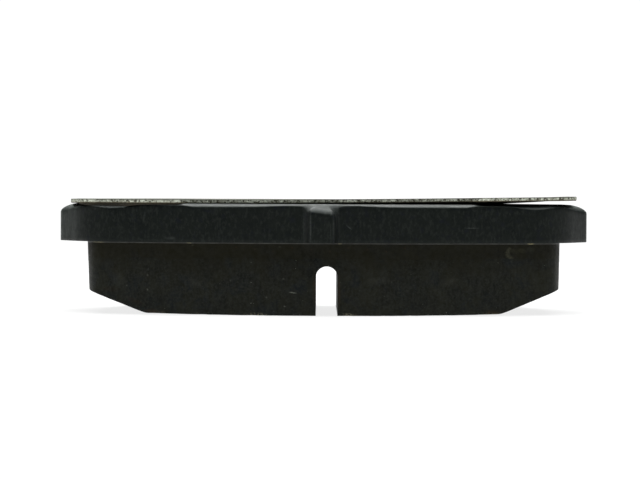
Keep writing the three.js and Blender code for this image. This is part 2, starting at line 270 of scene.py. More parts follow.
@dataclass(frozen=True)
class PadPlan:
    """The pad's plan, from which every piece takes its outline."""

    length: float
    outer_radius: float = 120.0
    radial_depth: float = 44.5
    ear_setback: float = 17.0
    ear_width: float = 14.0
    ear_reach: float = 4.3
    slope: float = math.radians(63)
    shoulder_radius: float = 13.0
    ear_front_radius: float = 4.5
    ear_back_radius: float = 1.5
    ear_root_radius: float = 2.0
    inner_corner_radius: float = 4.3
    tab_width: float = 4.7
    tab_height: float = 2.0
    tab_offset: float = -0.3
    tab_taper: float = 0.42
    tab_tip_radius: float = 0.9
    tab_root_radius: float = 1.0
    friction_inset: float = 1.2
    friction_half: float = 38.4
    friction_shoulder_radius: float = 5.0
    friction_side_radius: float = 3.0
    friction_waist_radius: float = 6.0
    shim_inset: float = 0.1
    shim_end_inset: float = 2.0
    shim_cut_start: float = 31.0
    shim_cut_end: float = 39.0
    shim_cut_radius: float = 4.0
    shim_left_land: float = 15.2
    shim_right_land: float = 13.5
    shim_notch_depth: float = 2.6
    shim_notch_radius: float = 1.0
    hole_count: int = 4
    hole_radius: float = 3.5
    hole_end_distance: float = 10.0

    @property
    def inner_radius(self) -> float:
        """The radius of the inner arc."""
        return self.outer_radius - self.radial_depth

    @property
    def middle_radius(self) -> float:
        """The radius midway between the two arcs."""
        return (self.outer_radius + self.inner_radius) / 2

    @property
    def ear_back(self) -> float:
        """The y of the ear's back edge."""
        return self.ear_setback - self.outer_radius + self.ear_width

    def slope_y(self, inset: float, x: float) -> float:
        """The y of the sloping edge between shoulder and ear.

        Args:
            inset: how far it is moved in from the plate's edge.
            x: the place along the pad.

        Returns:
            Its y there.
        """
        through_x = self.length / 2 - inset * math.sin(self.slope)
        through_y = self.ear_setback - self.outer_radius + inset * math.cos(self.slope)
        return through_y + (x - through_x) * math.tan(self.slope)

    def shoulder(self, inset: float, radius: float) -> Corner:
        """Where the sloping edge meets the outer arc.

        Args:
            inset: how far both are moved in from the plate's edge.
            radius: the rounding that the corner gets.

        Returns:
            The corner.
        """
        arc, rise, offset = self.outer_radius - inset, math.tan(self.slope), self.slope_y(inset, 0.0)
        across = 1 + rise * rise
        middle = -rise * offset / across
        x = middle - math.sqrt(middle * middle - (offset * offset - arc * arc) / across)
        return Corner(x, self.slope_y(inset, x), radius)

    def inner_corner(self, inset: float, waist: float) -> Corner:
        """The end of the inner arc."""
        radius = self.inner_radius + inset
        return Corner(radius * math.sin(waist), -radius * math.cos(waist), self.inner_corner_radius)

    def eared_side(self, inset: float, end_inset: float) -> list[Corner]:
        """The right side of a piece with ears.

        Args:
            inset: how far its edges are moved in from the plate's.
            end_inset: how far its end is moved in from the end of the ear.

        Returns:
            Its corners, from the outer arc to the inner arc.
        """
        end, root = self.length / 2 - end_inset, self.length / 2 - self.ear_reach - inset
        back = self.ear_back - inset
        return [
            self.shoulder(inset, self.shoulder_radius),
            Corner(end, self.slope_y(inset, end), self.ear_front_radius),
            Corner(end, back, self.ear_back_radius),
            Corner(root, back, self.ear_root_radius),
            self.inner_corner(inset, math.atan2(root, -back)),
        ]

    def friction_side(self) -> list[Corner]:
        """The right side of the friction material, which stops short of the ears."""
        inset, half = self.friction_inset, self.friction_half
        waist = math.atan2(self.length / 2 - self.ear_reach - inset, -self.ear_back)
        return [
            self.shoulder(inset, self.friction_shoulder_radius),
            Corner(half, self.slope_y(inset, half), self.friction_side_radius),
            Corner(half, -half / math.tan(waist), self.friction_waist_radius),
            self.inner_corner(inset, waist),
        ]

    def close(self, side: list[Corner], inset: float, outer: list[Corner], tracer: Tracer) -> Rim:
        """Closes a right side, its mirror image and the two arcs into one rim.

        Args:
            side: the right side's corners.
            inset: how far the inner arc is moved in from the plate's edge.
            outer: the corners of the outer arc, from left to right.
            tracer: what follows the outline.

        Returns:
            The rim.
        """
        reach = side[-1].x - side[-1].radius
        inner = tracer.arc(self.inner_radius + inset, reach, -reach)
        mirrored = [Corner(-c.x, c.y, c.radius) for c in reversed(side)]
        return tracer.trace([*side, *inner, *mirrored, *outer])

    def stepped(self, inset: float, left: float, right: float, depth: float, root: float, tip: float,
                reach: float, tracer: Tracer, taper: float = 0.0) -> list[Corner]:
        """The outer arc with one step out of it or into it.

        Args:
            inset: how far the arc is moved in from the plate's edge.
            left: where the step begins.
            right: where it ends.
            depth: how far it stands out of the plate's arc, or into it where negative.
            root: the radius where it leaves the arc.
            tip: the radius of its own corners.
            reach: how far the arc goes each way.
            tracer: what spaces the points.
            taper: how far each side leans in from root to tip, half of it each way.

        Returns:
            The corners from left to right.
        """
        arc, step = self.outer_radius - inset, self.outer_radius + depth

        def on(radius: float, x: float, rounding: float) -> Corner:
            """A corner on a circle about the disc's axis."""
            return Corner(x, -math.sqrt(radius * radius - x * x), rounding)

        return [
            *tracer.arc(arc, -reach, left - taper - root),
            on(arc, left - taper, root), on(step, left + taper, tip),
            *tracer.arc(step, left + tip, right - tip),
            on(step, right - taper, tip), on(arc, right + taper, root),
            *tracer.arc(arc, right + taper + root, reach),
        ]

    def plate_rim(self, tracer: Tracer) -> Rim:
        """The backing plate's outline, with the locating tab."""
        side = self.eared_side(0.0, 0.0)
        left, right = self.tab_offset - self.tab_width / 2, self.tab_offset + self.tab_width / 2
        outer = self.stepped(0.0, left, right, self.tab_height, self.tab_root_radius, self.tab_tip_radius,
                             side[0].x - side[0].radius, tracer, self.tab_taper)
        return self.close(side, 0.0, outer, tracer)

    def friction_rim(self, tracer: Tracer) -> Rim:
        """The friction material's outline."""
        side = self.friction_side()
        reach = side[0].x - side[0].radius
        outer = tracer.arc(self.outer_radius - self.friction_inset, -reach, reach)
        return self.close(side, self.friction_inset, outer, tracer)

    def shim_rim(self, tracer: Tracer, trim: float = 0.0) -> Rim:
        """The shim's outline, stepped back round the tab.

        Args:
            tracer: what spaces the points.
            trim: how much less than the full outline a layer covers.

        Returns:
            The rim.
        """
        inset = self.shim_inset + trim
        arc, start, end = self.outer_radius - inset, self.shim_cut_start, self.shim_cut_end
        side = [
            Corner(start, -math.sqrt(arc * arc - start * start), self.shim_cut_radius),
            Corner(end, self.slope_y(inset, end), self.shim_cut_radius),
            *self.eared_side(inset, self.shim_end_inset + trim)[1:],
        ]
        shoulder = self.shoulder(self.shim_inset, 0.0).x
        left = self.shim_left_land - shoulder + trim
        right = shoulder - self.shim_right_land - trim
        radius, reach = self.shim_notch_radius, side[0].x - side[0].radius
        depth = -self.shim_notch_depth - trim
        outer = self.stepped(inset, left, right, depth, radius, radius, reach, tracer)
        return self.close(side, inset, outer, tracer)

    def hole_centres(self) -> list[tuple[float, float]]:
        """The middles of the holes that the underlayer is moulded into."""
        last = self.friction_half - self.hole_end_distance
        places = [last * (2 * i / (self.hole_count - 1) - 1) for i in range(self.hole_count)]
        return [(x, -math.sqrt(self.middle_radius**2 - x * x)) for x in places]


# ---- Bench: meshes in the frame's own place --------------------------------------------------------------


def linked(name: str, data: bpy.types.ID) -> bpy.types.Object:
    """Makes an object of some data and links it to the scene.

    Args:
        name: the object's name.
        data: its mesh, camera or light.

    Returns:
        The object.
    """
    thing = bpy.data.objects.new(name, data)
    bpy.context.scene.collection.objects.link(thing)
    return thing


@dataclass
class Bench:
    """Turns drawings in millimetres into meshes in metres, and hands each finished piece to the frame."""

    plan: PadPlan

    @property
    def shift(self) -> float:
        """How far the drawing moves along Y so that the tab's front meets the front of the frame's box."""
        return CAD_BOX[0][1] / MM + self.plan.outer_radius + self.plan.tab_height

    def front(self, radius: float, x: float) -> float:
        """The y, in the frame's place, of an arc's front at a place along the pad."""
        return self.shift - math.sqrt(radius * radius - x * x)

    def mesh(self, name: str, points: np.ndarray, faces: list[tuple[int, ...]]) -> bpy.types.Object:
        """Makes an object of points and faces.

        Args:
            name: the piece's name.
            points: its corners in millimetres, about the disc's axis.
            faces: the corners of each face.

        Returns:
            The object, linked to the scene.
        """
        placed = (points + np.array([0.0, self.shift, 0.0])) * MM
        mesh = bpy.data.meshes.new(name)
        mesh.from_pydata(placed.tolist(), [], faces)
        mesh.validate()
        return linked(name, mesh)

    def carve(self, piece: bpy.types.Object, tool: bpy.types.Object, join: bool = False) -> None:
        """Cuts a piece with a tool, or joins the two, and removes the tool.

        Args:
            piece: what is cut.
            tool: the solid that cuts it.
            join: whether the tool is added instead.
        """
        cut = piece.modifiers.new("cut", "BOOLEAN")
        cut.operation = "UNION" if join else "DIFFERENCE"
        cut.solver = "EXACT"
        cut.object = tool
        graph = bpy.context.evaluated_depsgraph_get()
        done = bpy.data.meshes.new_from_object(piece.evaluated_get(graph))
        piece.modifiers.clear()
        piece.data = done
        bpy.data.objects.remove(tool)

    def hand_over(self, piece: bpy.types.Object, node: Node, slot: Slot, material: bpy.types.Material,
                  crease: float = 50.0) -> None:
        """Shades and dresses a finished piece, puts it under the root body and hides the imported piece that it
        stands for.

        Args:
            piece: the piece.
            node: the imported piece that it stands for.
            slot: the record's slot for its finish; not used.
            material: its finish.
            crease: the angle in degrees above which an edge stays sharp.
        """
        piece.data.shade_smooth()
        piece.data.set_sharp_from_angle(angle=math.radians(crease))
        piece.data.materials.clear()
        piece.data.materials.append(material)
        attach(piece, "root")
        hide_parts(node.value)
        LOG.info("%s: %d faces for %s", piece.name, len(piece.data.polygons), node.value)


@dataclass
class Slab:
    """A lying solid between two height functions, inside one outline and round any holes."""

    rim: Rim
    top: Heights
    bottom: Heights
    insets: tuple[float, ...] = ()
    pitch: float = 2.0
    wall_rows: int = 4
    holes: list[Rim] = field(default_factory=list)

    def plan_points(self) -> tuple[np.ndarray, np.ndarray, list[tuple[int, int]]]:
        """Spreads points over the plan: the loops, rows inside the rim, and a grid over the rest.

        Returns:
            The points, how far each lies from the rim, and where each loop starts and ends.
        """
        loops = [self.rim, *self.holes]
        sets = [loop.points for loop in loops]
        starts = np.cumsum([0] + [len(s) for s in sets])
        spans = [(int(a), int(b)) for a, b in zip(starts[:-1], starts[1:])]
        for inset in self.insets:
            row = self.rim.points - self.rim.normals * inset
            sets.append(row[self.rim.distance(row) > ROW_SLACK * inset])
        low, high = self.rim.points.min(axis=0), self.rim.points.max(axis=0)
        xs, ys = np.arange(low[0], high[0], self.pitch), np.arange(low[1], high[1], self.pitch)
        grid = np.array([(x + (j % 2) * self.pitch / 2, y) for j, y in enumerate(ys) for x in xs])
        deep = (self.insets[-1] if self.insets else 0.0) + GRID_GAP * self.pitch
        keep = self.rim.holds(grid) & (self.rim.distance(grid) > deep)
        for hole in self.holes:
            keep &= ~hole.holds(grid) & (hole.distance(grid) > GRID_GAP * self.pitch)
        sets.append(grid[keep])
        points = np.concatenate(sets)
        return points, self.rim.distance(points), spans

    def triangles(self, points: np.ndarray, spans: list[tuple[int, int]]) -> list[tuple[int, int, int]]:
        """Joins the plan's points into triangles that keep every loop.

        Args:
            points: the plan's points.
            spans: where each loop starts and ends.

        Returns:
            The triangles, anticlockwise from above.
        """
        edges = [(i, i + 1 if i + 1 < b else a) for a, b in spans[1:] for i in range(a, b)]
        outer = [list(range(*spans[0]))]
        flat = [Vector((float(x), float(y))) for x, y in points]
        _, _, faces, origin, _, _ = delaunay_2d_cdt(flat, edges, outer, 1, WELD)
        named = [tuple(origin[i][0] for i in face) for face in faces]
        middles = np.array([points[list(face)].mean(axis=0) for face in named])
        keep = np.ones(len(named), dtype=bool)
        for hole in self.holes:
            keep &= ~hole.holds(middles)
        return [face for face, kept in zip(named, keep) if kept]

    def build(self, bench: Bench, name: str) -> bpy.types.Object:
        """Makes the solid.

        Args:
            bench: where it is made.
            name: the piece's name.

        Returns:
            The object.
        """
        points, depth, spans = self.plan_points()
        faces = self.triangles(points, spans)
        count = len(points)
        tops, bottoms = self.top(points, depth), self.bottom(points, depth)
        stack = [np.column_stack([points, tops]), np.column_stack([points, bottoms])]
        solid: list[tuple[int, ...]] = [face for face in faces]
        solid += [tuple(i + count for i in reversed(face)) for face in faces]
        used = 2 * count
        for number, (a, b) in enumerate(spans):
            loop = list(range(a, b))
            rows = [loop]
            for row in range(1, self.wall_rows):
                share = row / self.wall_rows
                heights = tops[a:b] * (1 - share) + bottoms[a:b] * share
                stack.append(np.column_stack([points[a:b], heights]))
                rows.append(list(range(used, used + b - a)))
                used += b - a
            rows.append([i + count for i in loop])
            for above, below in zip(rows[:-1], rows[1:]):
                for i in range(b - a):
                    j = (i + 1) % (b - a)
                    quad = (above[j], above[i], below[i], below[j])
                    solid.append(quad if number == 0 else quad[::-1])
        return bench.mesh(name, np.concatenate(stack), solid)


def level(height: float) -> Heights:
    """A flat height function."""
    return lambda points, depth: np.full(len(points), height)


def quarter_round(depth: np.ndarray, width: np.ndarray | float) -> np.ndarray:
    """How far a rounded edge has fallen, as a share of its full drop."""
    left = np.clip(1 - depth / width, 0.0, 1.0)
    return 1 - np.sqrt(1 - left**2)


def bump(x: np.ndarray, middle: float, reach: float) -> np.ndarray:
    """A smooth hump of height one."""
    return np.exp(-(((x - middle) / reach) ** 2))


def grain(points: np.ndarray, size: float, seed: float = 0.0) -> np.ndarray:
    """Smooth solid noise."""
    shift = Vector((seed, 2.3 * seed, 5.1 * seed))
    return np.array([noise.noise(Vector(p / size) + shift) for p in points])


@dataclass(frozen=True)
class Wave:
    """One size of noise: its share of the whole, how large its features are, and where it is taken from."""

    share: float
    size: float
    seed: float


def waves(points: np.ndarray, kinds: Sequence[Wave]) -> np.ndarray:
    """Noise in several sizes at once."""
    return sum(kind.share * grain(points, kind.size, kind.seed) for kind in kinds)


# ---- Finishes --------------------------------------------------------------------------------------------

Socket = bpy.types.NodeSocket
Colour = tuple[float, float, float]
Stretch = tuple[float, float, float]
WHITE = (1.0, 1.0, 1.0, 1.0)


@dataclass(frozen=True)
class Mark:
    """A rubbed or chipped spot, or a painted highlight: its middle, its half sizes, how strong it is and how
    far it is turned.
    """

    place: Colour
    reach: Colour
    strength: float = 1.0
    turn: float = 0.0


@dataclass(frozen=True)
class Patches:
    """Cloudy patches: their size in millimetres, the noise between which they fade in, and their strength."""

    size: float
    start: float
    full: float
    most: float = 1.0
    least: float = 0.0
    detail: float = 4.0
    rough: float = 0.55
    stretch: Stretch = (1.0, 1.0, 1.0)
    twist: float = 0.0


@dataclass
class Wiring:
    """Adds nodes to a tree and joins them."""

    tree: bpy.types.NodeTree

    def add(self, kind: str, **settings: object) -> bpy.types.Node:
        """Adds a node.

        Args:
            kind: its type.
            settings: its properties.

        Returns:
            The node.
        """
        node = self.tree.nodes.new(kind)
        for name, value in settings.items():
            setattr(node, name, value)
        return node

    def feed(self, socket: Socket, value: Socket | float | Sequence[float]) -> None:
        """Links a socket, or sets its value.

        Args:
            socket: the input.
            value: the output that it takes, or its value.
        """
        if isinstance(value, bpy.types.NodeSocket):
            self.tree.links.new(value, socket)
        else:
            socket.default_value = value


class Palette(Wiring):
    """Builds the nodes of one material. Sizes of patterns are in millimetres on the piece."""

    def __init__(self, name: str) -> None:
        """Starts a material with an empty shader.

        Args:
            name: the material's name.
        """
        self.material = bpy.data.materials.new(name)
        self.material.use_nodes = True
        super().__init__(self.material.node_tree)
        self.shader = self.tree.nodes["Principled BSDF"]
        self.place = self.add("ShaderNodeTexCoord").outputs["Object"]

    def stretched(self, stretch: Stretch) -> Socket:
        """Scales the piece's own coordinates.

        Args:
            stretch: the scale along each axis.

        Returns:
            The socket of the coordinates.
        """
        mapping = self.add("ShaderNodeMapping")
        self.feed(mapping.inputs["Vector"], self.place)
        mapping.inputs["Scale"].default_value = stretch
        return mapping.outputs["Vector"]

    def cloud(self, size: float, detail: float = 4.0, rough: float = 0.55, stretch: Stretch = (1, 1, 1),
              twist: float = 0.0) -> Socket:
        """Cloudy noise.

        Args:
            size: the size of its features.
            detail: how many finer layers it has.
            rough: how strong they are.
            stretch: its scale along each axis.
            twist: how much it is distorted.

        Returns:
            The socket of its value.
        """
        node = self.add("ShaderNodeTexNoise")
        self.feed(node.inputs["Vector"], self.stretched(stretch))
        settings = {"Scale": 1 / (size * MM), "Detail": detail, "Roughness": rough, "Distortion": twist}
        for name, value in settings.items():
            node.inputs[name].default_value = value
        return node.outputs["Fac"]

    def patches(self, kind: Patches) -> Socket:
        """The strength of cloudy patches."""
        value = self.cloud(kind.size, kind.detail, kind.rough, kind.stretch, kind.twist)
        return self.ramp(value, (kind.start, kind.least), (kind.full, kind.most))

    def cells(self, size: float, stretch: Stretch = (1, 1, 1), output: str = "Distance") -> Socket:
        """A pattern of cells.

        Args:
            size: the size of a cell.
            stretch: its scale along each axis.
            output: which of its values is wanted.

        Returns:
            The socket.
        """
        node = self.add("ShaderNodeTexVoronoi")
        self.feed(node.inputs["Vector"], self.stretched(stretch))
        node.inputs["Scale"].default_value = 1 / (size * MM)
        return node.outputs[output]

    def spot(self, mark: Mark) -> Socket:
        """A soft-edged spot on the piece.

        Args:
            mark: where it lies and how strong it is.

        Returns:
            The socket of its strength.
        """
        mapping = self.add("ShaderNodeMapping", vector_type="TEXTURE")
        self.feed(mapping.inputs["Vector"], self.place)
        mapping.inputs["Location"].default_value = [value * MM for value in mark.place]
        mapping.inputs["Rotation"].default_value = (0.0, math.radians(mark.turn), 0.0)
        mapping.inputs["Scale"].default_value = [value * MM for value in mark.reach]
        length = self.add("ShaderNodeVectorMath", operation="LENGTH")
        self.feed(length.inputs[0], mapping.outputs["Vector"])
        return self.ramp(length.outputs["Value"], (0.35, mark.strength), (1.0, 0.0))

    def spots(self, marks: Sequence[Mark], grain_size: float = 0.3) -> Socket:
        """All of a piece's marks together, broken up by grain.

        Args:
            marks: the marks.
            grain_size: the size of the grain, in millimetres.

        Returns:
            The socket of their strength.
        """
        total: Socket | float = 0.0
        for mark in marks:
            total = self.sum("MAXIMUM", total, self.spot(mark))
        broken = self.patches(Patches(grain_size, 0.32, 0.6, least=0.25, detail=3, rough=0.7))
        return self.sum("MULTIPLY", total, broken)

    def height_share(self, low: float, high: float) -> Socket:
        """How far up a band of the piece each place is, from none to one.

        Args:
            low: where the band starts.
            high: where it ends.

        Returns:
            The socket of the share.
        """
        split = self.add("ShaderNodeSeparateXYZ")
        self.feed(split.inputs[0], self.place)
        band = self.add("ShaderNodeMapRange")
        self.feed(band.inputs["Value"], split.outputs["Z"])
        band.inputs["From Min"].default_value = low * MM
        band.inputs["From Max"].default_value = high * MM
        return band.outputs["Result"]

    def ramp(self, value: Socket, *stops: tuple[float, float]) -> Socket:
        """Maps a value through a straight step.

        Args:
            value: what is mapped.
            stops: the step's two ends, each a pair of place and value.

        Returns:
            The socket of the result.
        """
        node = self.add("ShaderNodeValToRGB")
        self.feed(node.inputs["Fac"], value)
        for point, (place, height) in zip(node.color_ramp.elements, stops):
            point.position = place
            point.color = (height, height, height, 1)
        return node.outputs["Color"]

    def blend(self, share: Socket | float, first: Socket | Colour, second: Socket | Colour) -> Socket:
        """Mixes two colours.

        Args:
            share: how much of the second shows.
            first: one colour.
            second: the other.

        Returns:
            The socket of the mixed colour.
        """
        node = self.add("ShaderNodeMix", data_type="RGBA")
        self.feed(node.inputs[0], share)
        for socket, colour in ((node.inputs[6], first), (node.inputs[7], second)):
            self.feed(socket, colour if isinstance(colour, bpy.types.NodeSocket) else (*colour, 1.0))
        return node.outputs[2]

    def layers(self, colour: Socket | Colour, *coats: tuple[Socket | Patches, Colour]) -> Socket | Colour:
        """Lays colours over each other.

        Args:
            colour: what lies lowest.
            coats: where each further colour shows, and the colour, from the bottom up.

        Returns:
            The socket of the colour that is seen.
        """
        for share, over in coats:
            shown = self.patches(share) if isinstance(share, Patches) else share
            colour = self.blend(shown, colour, over)
        return colour

    def sum(self, operation: str, first: Socket | float, second: Socket | float) -> Socket:
        """Combines two values.

        Args:
            operation: how.
            first: one value.
            second: the other.

        Returns:
            The socket of the result.
        """
        node = self.add("ShaderNodeMath", operation=operation)
        self.feed(node.inputs[0], first)
        self.feed(node.inputs[1], second)
        return node.outputs[0]

    def relief(self, height: Socket, depth: float, strength: float = 1.0,
               under: Optional[Socket] = None) -> Socket:
        """Raises a fine relief.

        Args:
            height: the pattern.
            depth: how deep it is, in millimetres.
            strength: how much of it shows.
            under: a coarser relief that it lies on.

        Returns:
            The socket of the normal.
        """
        node = self.add("ShaderNodeBump")
        node.inputs["Distance"].default_value = depth * MM
        node.inputs["Strength"].default_value = strength
        self.feed(node.inputs["Height"], height)
        if under is not None:
            self.feed(node.inputs["Normal"], under)
        return node.outputs["Normal"]

    def coat(self, **sockets: object) -> bpy.types.Material:
        """Sets or links the shader's sockets by name, with _ for a space.

        Args:
            sockets: each socket's value or source.

        Returns:
            The finished material.
        """
        for name, value in sockets.items():
            self.feed(self.shader.inputs[name.replace("_", " ")], value)
        return self.material


@dataclass(frozen=True)
class StovePaint:
    """Semi-gloss black stove paint over a blanked steel edge."""

    dark: Colour = (0.0012, 0.0022, 0.0024)
    dusty: Colour = (0.0044, 0.0057, 0.0048)
    bluish: Colour = (0.0036, 0.0042, 0.0085)
    grey: Colour = (0.0115, 0.0132, 0.0118)
    # scuff is the pale of rubbed paint and scratches, and also of the painted highlights at the tab's edges.
    scuff: Colour = (0.075, 0.082, 0.078)
    specular: float = 0.2
    sheen_tint: tuple[float, float, float, float] = (0.88, 1.0, 0.93, 1.0)
    clouds: Patches = Patches(3.0, 0.38, 0.62, detail=6, rough=0.7)
    mottle: Patches = Patches(0.8, 0.46, 0.58, rough=0.65, stretch=(1.0, 1.0, 0.6))
    dots: Patches = Patches(0.45, 0.5, 0.62, detail=3, rough=0.7, stretch=(1.0, 1.0, 0.5))
    cold: Patches = Patches(1.1, 0.55, 0.7, 0.8, rough=0.6)
    scratches: Patches = Patches(0.35, 0.68, 0.78, 0.5, detail=3, rough=0.6, stretch=(0.12, 0.12, 1.0),
                                 twist=0.4)
    worn: Patches = Patches(5.0, 0.5, 0.66, 0.3, detail=3)
    specks: Patches = Patches(0.3, 0.68, 0.76, 0.2, detail=3, rough=0.6)
    gloss: Patches = Patches(1.4, 0.25, 0.8, 0.6, 0.30, detail=6, rough=0.7)

    def mix(self, wear_and_highlights: Sequence[Mark]) -> bpy.types.Material:
        """Builds the material.

        Args:
            wear_and_highlights: where the paint is rubbed, and the pale strips at the tab's edges that are
                painted highlights.

        Returns:
            The material.
        """
        paint = Palette("black_stove_paint")
        scuffed = paint.sum("MULTIPLY", paint.patches(self.scratches), paint.patches(self.worn))
        marks = paint.sum("MAXIMUM", scuffed, paint.patches(self.specks))
        # Rubbed spots, and the painted highlights along the tab's root fillets and corners.
        marks = paint.sum("MAXIMUM", marks, paint.spots(wear_and_highlights))
        colour = paint.layers(self.dark, (self.clouds, self.dusty), (self.mottle, self.dusty),
                              (self.dots, self.grey), (self.cold, self.bluish), (marks, self.scuff))
        peel = paint.relief(paint.cloud(0.9, rough=0.6), 0.035, 0.8)
        streaks = paint.relief(paint.cloud(0.5, 6, 0.7, (1.0, 1.0, 0.08)), 0.014, 0.6, peel)
        return paint.coat(Base_Color=colour, Roughness=paint.patches(self.gloss), Normal=streaks,
                          Specular_IOR_Level=self.specular, Specular_Tint=self.sheen_tint)


@dataclass(frozen=True)
class PressedCompound:
    """Pressed friction compound: dark binder with grey grains, fibres and bright metal flecks."""

    name: str
    binder: Colour
    grains: Colour
    tint: Colour
    shade: Colour
    fleck: Colour
    # Brownish stain colour, and also the colour of the painted highlights beside the slot.
    stain_and_highlight: Colour = (0.030, 0.018, 0.008)
    fleck_share: float = 0.035
    coarse: float = 0.28
    specular: float = 0.16
    bleed: Colour = (0.0105, 0.0102, 0.0042)
    bleed_from: float = 5.4
    bleed_to: float = 9.6
    crumbs: Colour = (0.34, 0.32, 0.22)
    crumb_height: float = 0.5
    clouds: Patches = Patches(4.0, 0.4, 0.6, detail=6, rough=0.65, twist=0.6)
    cold: Patches = Patches(2.8, 0.5, 0.64, detail=5, rough=0.65, twist=0.4)
    drawn: Patches = Patches(0.45, 0.42, 0.72, 0.55, detail=3, rough=0.6, stretch=(1.0, 1.0, 0.25))
    rare: Patches = Patches(1.6, 0.56, 0.62, 0.55, detail=2)
    bled: Patches = Patches(4.5, 0.4, 0.6, rough=0.6)
    broken_edge: Patches = Patches(5.0, 0.52, 0.6, detail=2)
    crumbled: Patches = Patches(0.35, 0.48, 0.58, 0.9, rough=0.7)
    dull: Patches = Patches(0.8, 0.3, 0.7, 0.85, 0.55, detail=3)

    def flecks(self, paint: Palette) -> list[tuple[Socket, Colour]]:
        """The bright fibres and dots.

        Args:
            paint: what they are mixed in.

        Returns:
            Where each kind shows, and its colour.
        """
        strand = paint.ramp(paint.cells(0.5, (0.3, 0.3, 2.2)), (0.02, 1.0), (0.075, 0.0))
        dot = paint.ramp(paint.cells(0.55), (self.fleck_share, 1.0), (self.fleck_share * 3, 0.0))
        chosen = paint.ramp(paint.cells(0.55, output="Color"), (0.80, 0.0), (0.88, 1.0))
        return [(paint.sum("MULTIPLY", strand, paint.patches(self.rare)), self.fleck),
                (paint.sum("MULTIPLY", dot, chosen), self.fleck)]

    def mix(self, marks: Sequence[Mark], stains_and_highlights: Sequence[Mark]) -> bpy.types.Material:
        """Builds the material.

        Args:
            marks: pale chips and scuffs.
            stains_and_highlights: brownish stains, and on the block the pale strips beside the slot that are
                painted highlights.

        Returns:
            The material.
        """
        paint = Palette(self.name)
        near_seam = paint.height_share(self.bleed_from, self.bleed_to)
        crumbs = paint.sum("MULTIPLY", paint.patches(self.broken_edge), paint.patches(self.crumbled))
        colour = paint.layers(
            self.binder,
            (self.clouds, self.tint),
            (self.cold, self.shade),
            (self.drawn, self.grains),
            (Patches(self.coarse, 0.46, 0.66, 0.9, rough=0.7), self.grains),
            *self.flecks(paint),
            (paint.sum("MULTIPLY", near_seam, paint.patches(self.bled)), self.bleed),
            (paint.sum("MULTIPLY", paint.height_share(self.crumb_height, 0.0), crumbs), self.crumbs),
            # Stains, and on the block the painted highlights beside the slot.
            (paint.spots(stains_and_highlights, 0.5), self.stain_and_highlight),
            (paint.spots(marks, 0.22), self.fleck),
        )
        pits = paint.ramp(paint.cells(0.9), (0.0, 0.0), (0.22, 1.0))
        lumps = paint.relief(pits, 0.05, 0.45, paint.relief(paint.cloud(1.3, 5, 0.65), 0.10, 0.5))
        normal = paint.relief(paint.cloud(0.16, 4, 0.7), 0.03, 0.55, lumps)
        return paint.coat(Base_Color=colour, Roughness=paint.patches(self.dull), Normal=normal,
                          Specular_IOR_Level=self.specular, Sheen_Weight=0.4, Sheen_Roughness=0.3)


@dataclass(frozen=True)
class CuredResin:
    """Cured bonding resin, squeezed a little out of the seam."""

    lump: Colour = (0.30, 0.27, 0.14)
    pale: Colour = (0.045, 0.047, 0.040)
    dark: Colour = (0.018, 0.018, 0.014)
    clouds: Patches = Patches(1.8, 0.35, 0.65, rough=0.6)
    gloss: Patches = Patches(1.1, 0.3, 0.7, 0.6, 0.35, detail=2)

    def mix(self, flecks: Sequence[Mark]) -> bpy.types.Material:
        """Builds the material.

        Args:
            flecks: the pale lumps along the seam.

        Returns:
            The material.
        """
        paint = Palette("bonding_resin")
        colour = paint.layers(self.dark, (self.clouds, self.pale), (paint.spots(flecks), self.lump))
        normal = paint.relief(paint.cloud(0.4, 3), 0.03, 0.5)
        return paint.coat(Base_Color=colour, Roughness=paint.patches(self.gloss), Normal=normal)


@dataclass(frozen=True)
class Rubber:
    """A thin rubber coat, speckled with talc and rubbed paler in places."""

    name: str
    base: Colour
    pale: Colour
    dark: Colour
    speckle: float = 0.28
    rubbed: Patches = Patches(9.0, 0.35, 0.7, 0.6, detail=5, rough=0.6)
    dull: Patches = Patches(1.5, 0.3, 0.7, 0.85, 0.6)

    def mix(self) -> bpy.types.Material:
        """Builds the material."""
        paint = Palette(self.name)
        dots = Patches(self.speckle, 0.52, 0.64, 0.85, detail=3, rough=0.7)
        talc = Patches(self.speckle * 0.8, 0.6, 0.7, 0.8, detail=2, rough=0.6, stretch=(1.3, 1.3, 1.3))
        colour = paint.layers(self.base, (self.rubbed, self.pale), (dots, self.dark), (talc, self.pale))
        normal = paint.relief(paint.cloud(self.speckle, 4, 0.7), 0.03, 0.6)
        return paint.coat(Base_Color=colour, Roughness=paint.patches(self.dull), Normal=normal,
                          Specular_IOR_Level=0.3)


@dataclass(frozen=True)
class ShearedSteel:
    """The zinc-coated steel of the shim, bright where it was sheared."""

    bright: Colour = (0.85, 0.90, 0.76)
    dull: Colour = (0.36, 0.37, 0.29)
    dark: Colour = (0.040, 0.034, 0.018)
    sheared: Patches = Patches(0.6, 0.42, 0.58, detail=5, rough=0.75)
    burr: Patches = Patches(0.5, 0.49, 0.56, 0.95, detail=5, rough=0.75)

    def mix(self) -> bpy.types.Material:
        """Builds the material."""
        paint = Palette("sheared_steel")
        colour = paint.layers(self.dull, (self.sheared, self.bright), (self.burr, self.dark))
        normal = paint.relief(paint.cloud(0.2, 3, 0.6, (1.0, 1.0, 0.2)), 0.02, 0.5)
        return paint.coat(Base_Color=colour, Metallic=0.2, Roughness=0.55, Normal=normal)


# ---- Sub-assemblies --------------------------------------------------------------------------------------


